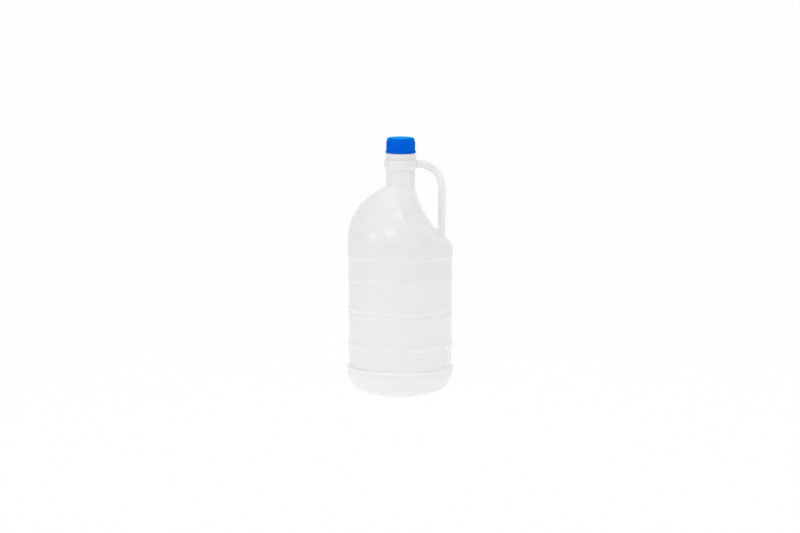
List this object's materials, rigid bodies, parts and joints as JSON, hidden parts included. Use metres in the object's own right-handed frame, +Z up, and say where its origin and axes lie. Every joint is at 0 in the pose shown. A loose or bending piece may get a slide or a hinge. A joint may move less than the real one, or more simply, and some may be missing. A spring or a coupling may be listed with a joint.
{
  "type": "round plastic jug with screw cap and handle",
  "caption": "Round milky polyethylene jug, blown in one piece with ribbed wall, finger scoop, collar and loop grip, closed by a ribbed blue screw cap.",
  "frame": {"origin": "on the bottle's axis, on the ground under the standing ring", "axes": "+Z up along the bottle's axis, +X towards the grip, +Y away from the picture's viewer"},
  "size_m": [0.1624, 0.1624, 0.3915],
  "materials": {
    "milky_plastic": "translucent natural polyethylene, satin",
    "blue_plastic": "dyed polypropylene, semi-gloss",
    "foam_disc": "foamed polyethylene, matte"
  },
  "bodies": {
    "bottle": {"bottle": "milky_plastic"},
    "liner": {"seal_liner": "foam_disc"},
    "cap": {"screw_cap": "blue_plastic"}
  },
  "joints": [
    {"name": "cap_lift", "type": "slide", "parent": "bottle", "child": "liner", "axis": [0, 0, 1], "range_m": [0, 0.02401]},
    {"name": "cap_turn", "type": "hinge", "parent": "liner", "child": "cap", "pos_m": [0, 0, 0.3787], "axis": [0, 0, 1], "range_deg": [0, 2160]}
  ],
  "couplings": [
    {"joint": "cap_lift", "follows": "cap_turn", "m_per_rad": 0.00063662}
  ]
}
